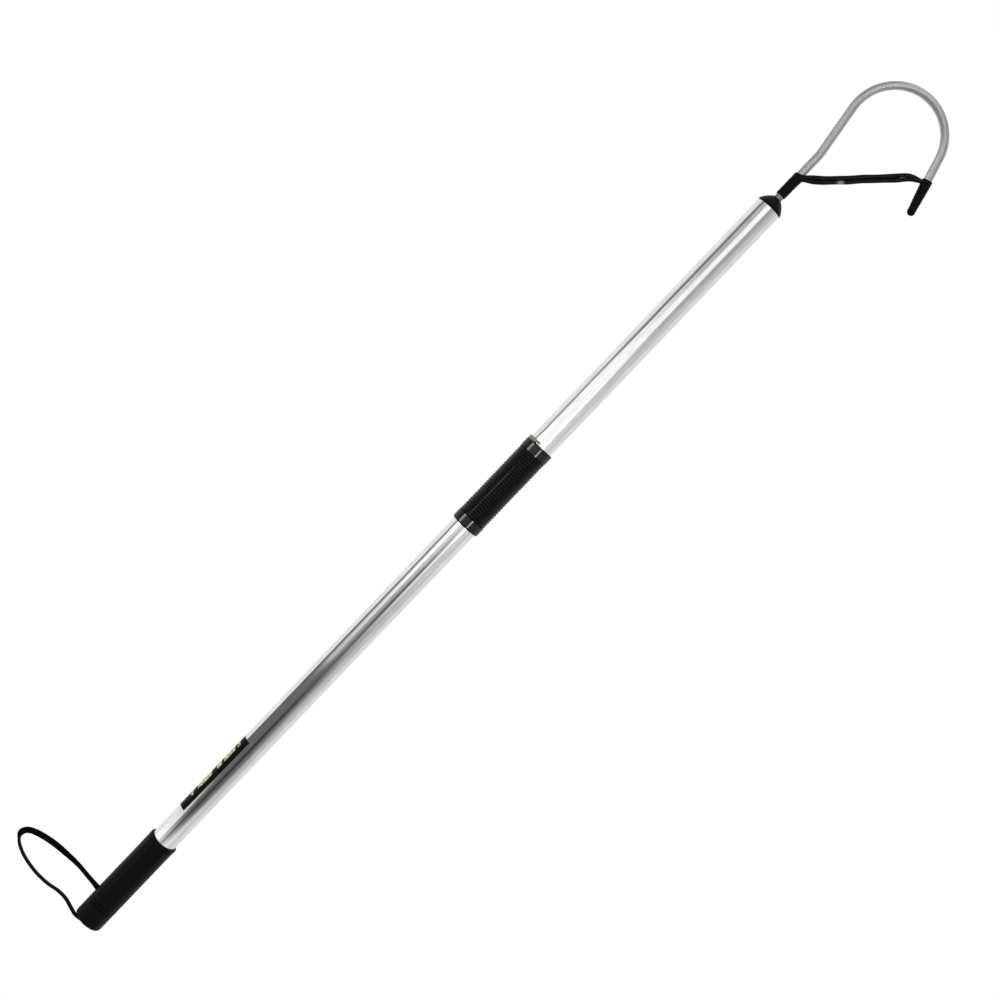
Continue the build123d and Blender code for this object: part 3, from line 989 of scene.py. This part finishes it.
def wrist_cord():
    """A flat woven cord, edge-on along the lower leg and turned flat along the upper one."""
    line, at = smooth_line([Vector(p) * MM for p in CORD_LINE], 620)
    total = at[-1]
    pick = 3.0 * MM
    corners = 28
    flip_from, flip_length = 0.505, 0.035
    lean_from, lean_length = 0.70, 0.26

    def section(distance):
        points = []
        phase = 2 * pi * distance / pick
        for i in range(corners):
            angle = 2 * pi * i / corners
            c, s = cos(angle), sin(angle)
            weave = cos(phase + 5 * angle) * cos(phase - 5 * angle)
            u = CORD_HALF_THICKNESS * abs(c) ** 0.7 * (1 if c > 0 else -1)
            v = CORD_HALF_WIDTH * abs(s) ** 0.8 * (1 if s > 0 else -1)
            points.append((u * (1 + 0.10 * weave), v * (1 + 0.03 * weave)))
        return points

    def turn(distance):
        share = distance / total
        flip = min(1.0, max(0.0, (share - flip_from) / flip_length))
        flip = flip * flip * (3 - 2 * flip)
        lean = max(0.0, sin(pi * min(1.0, max(0.0, (share - lean_from) / lean_length))))
        return radians(87) * (1 - flip) + radians(28) * lean * flip

    piece = swept("wrist_cord_flat", line, at, (0, 0, 1), section, turn)
    finish_piece(piece, woven_cord(), "cord", None, "wrist_cord", "cord_inner_ends")
    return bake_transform(piece)


# ---------------------------------------------------------------- hidden pieces keep their CAD shape
def paint_hidden_nodes():
    rubber = grip_rubber("inner_rubber")
    steel = fastener_steel()
    looks = {
        "butt_grip_adhesive": cured_glue(),
        "butt_bulkhead": foam(),
        "cord_knot": woven_cord(),
        "nose_seal": rubber,
        "expander_bush": rubber,
        "shank_washers": steel,
        "shank_nuts": steel,
    }
    for node, material in looks.items():
        paint(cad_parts[node], material)


# ---------------------------------------------------------------- studio
# The studio as the shiny pole mirrors it. Each row covers what is before it with its own brightness:
# "along" is the angle towards +X from straight across the pole, "around" the angle about the pole
# from straight up towards +Y. Four numbers, in degrees: starts, full, full, ends.
WHITE_TENT = 1.10
EVERYWHERE = (-90, -89, 89, 90)
STUDIO = (
    # brightness, along, around
    (0.66, EVERYWHERE, (-115, -95, -90, -5)),  # tent wall behind the hook's side
    (0.42, (-18, -15, 60, 70), (62, 71, 88, 99)),  # gap below the overhead light
    (0.41, (-6, 7, 60, 70), (-99, -30, -21, -7)),  # room past the hook's end of the light
    (0.52, (2, 7, 60, 70), (18, 31, 88, 99)),
    (0.16, (0.5, 4, 60, 70), (56, 69, 72, 87)),
    (0.15, (-19.6, -16.2, -12.6, -1), (-105, -3, 90, 98)),  # photographer over the butt's half
    (0.14, (-20.6, -17.7, -17, -11), (-54, -22, 28, 41)),
    (0.05, (-22, -16.5, -15, -10), (-20, -4, 6, 17)),
    (0.14, (-13, -9, -8.6, -4), (-14, -4, 7, 13)),  # camera stand
    (0.46, (-12.2, -11.2, -10, -7), (4, 42, 60, 80)),  # edge of the overhead light
    (1.50, (-13.5, -4, -2, 0), (28, 48, 52, 75)),  # the light's two long sides
    (1.40, (-13, 0, 0, 4), (-32, -26, -16, -11)),
    (8.5, (-5.9, -5.5, -1.6, -1.2), (43, 48, 60, 66)),  # its two bare tubes
    (15.0, (-5.9, -5.5, -1.6, -1.2), (-29, -26, -18, -15)),
    (0.35, (-95, -90, -25, -21.5), (-181, -180, 180, 181)),  # curtain past the butt
)
FLOOR_HEIGHT = -0.25
FLOOR_GLOW = (0.79, 0.89)  # mirrored brightness of the floor on the -Y and +Y sides
CAMERA_WHITE = 1.0


def seen_or_mirrored(nodes, seen, mirrored):
    """One brightness where the camera looks straight at it, another in reflections and for light."""
    straight = nodes.tree.nodes.new("ShaderNodeLightPath").outputs["Is Camera Ray"]
    return nodes.between(straight, mirrored, seen)


def studio_light():
    world = bpy.data.worlds.new("studio")
    bpy.context.scene.world = world
    world.use_nodes = True
    nodes = Nodes(world.node_tree)
    direction = nodes.tree.nodes.new("ShaderNodeTexCoord").outputs["Generated"]
    x, _, _ = nodes.split(direction)
    along = nodes.math("MULTIPLY", nodes.math("ARCSINE", x), 180 / pi)
    around = nodes.degrees_about_pole(direction)
    light = WHITE_TENT
    for brightness, along_range, around_range in STUDIO:
        inside = nodes.trapezoid(along, *along_range)
        share = nodes.math("MULTIPLY", inside, nodes.trapezoid(around, *around_range))
        light = nodes.between(share, light, brightness)
    background = nodes.tree.nodes["Background"]
    background.inputs["Color"].default_value = (1, 1, 1, 1)
    nodes.put(background.inputs["Strength"], seen_or_mirrored(nodes, CAMERA_WHITE, light))


def floor():
    """A plain white floor, lit so evenly that nothing throws a shadow on it."""
    half = 12.0
    corners = [(x * half, y * half, FLOOR_HEIGHT) for x, y in ((-1, -1), (1, -1), (1, 1), (-1, 1))]
    mesh = bpy.data.meshes.new("floor")
    mesh.from_pydata(corners, [], [(0, 1, 2, 3)])
    plane = bpy.data.objects.new("floor", mesh)
    bpy.context.collection.objects.link(plane)
    s = Finish("pale_floor")
    _, y, _ = s.split(s.coordinates())
    glow = s.ramp(y, -0.5, 0.5, *FLOOR_GLOW)
    s.set(
        Base_Color=(0, 0, 0, 1),
        Specular_IOR_Level=0.0,
        Emission_Color=(1, 1, 1, 1),
        Emission_Strength=seen_or_mirrored(s, CAMERA_WHITE, glow),
    )
    s.material.cycles.emission_sampling = "NONE"
    paint(plane, s.material)


# ---------------------------------------------------------------- camera
AIM = Vector((0.5575, -0.0070, 0.0))  # the point on the pole that the camera looks at
CAMERA_DISTANCE = 1.6
CAMERA_LEAN = asin(0.0675)  # the camera stands this far towards the hook from straight above
POLE_TILT = radians(46.26)  # the pole's slope in the picture
LENS = 62.47


def camera():
    data = bpy.data.cameras.new("camera")
    data.lens = LENS
    data.sensor_width = 36.0
    data.clip_end = 100.0
    view = bpy.data.objects.new("camera", data)
    bpy.context.collection.objects.link(view)
    forward = Vector((-sin(CAMERA_LEAN), 0, -cos(CAMERA_LEAN)))
    along = Vector((cos(CAMERA_LEAN), 0, -sin(CAMERA_LEAN)))
    across = forward.cross(along)
    right = along * cos(POLE_TILT) + across * sin(POLE_TILT)
    down = across * cos(POLE_TILT) - along * sin(POLE_TILT)
    matrix = Matrix.Identity(4)
    place = AIM - forward * CAMERA_DISTANCE
    for column, axis in enumerate((right, -down, -forward, place)):
        for row in range(3):
            matrix[row][column] = axis[row]
    view.matrix_world = matrix
    bpy.context.scene.camera = view
    bpy.context.scene.view_settings.view_transform = "Standard"


# ---------------------------------------------------------------- build
tube()
cap()
butt_grip()
mid_grip()
glue_dab()
label()
nose()
hook()
sleeve()
guard()
tether()
wrist_cord()
paint_hidden_nodes()
studio_light()
floor()
camera()
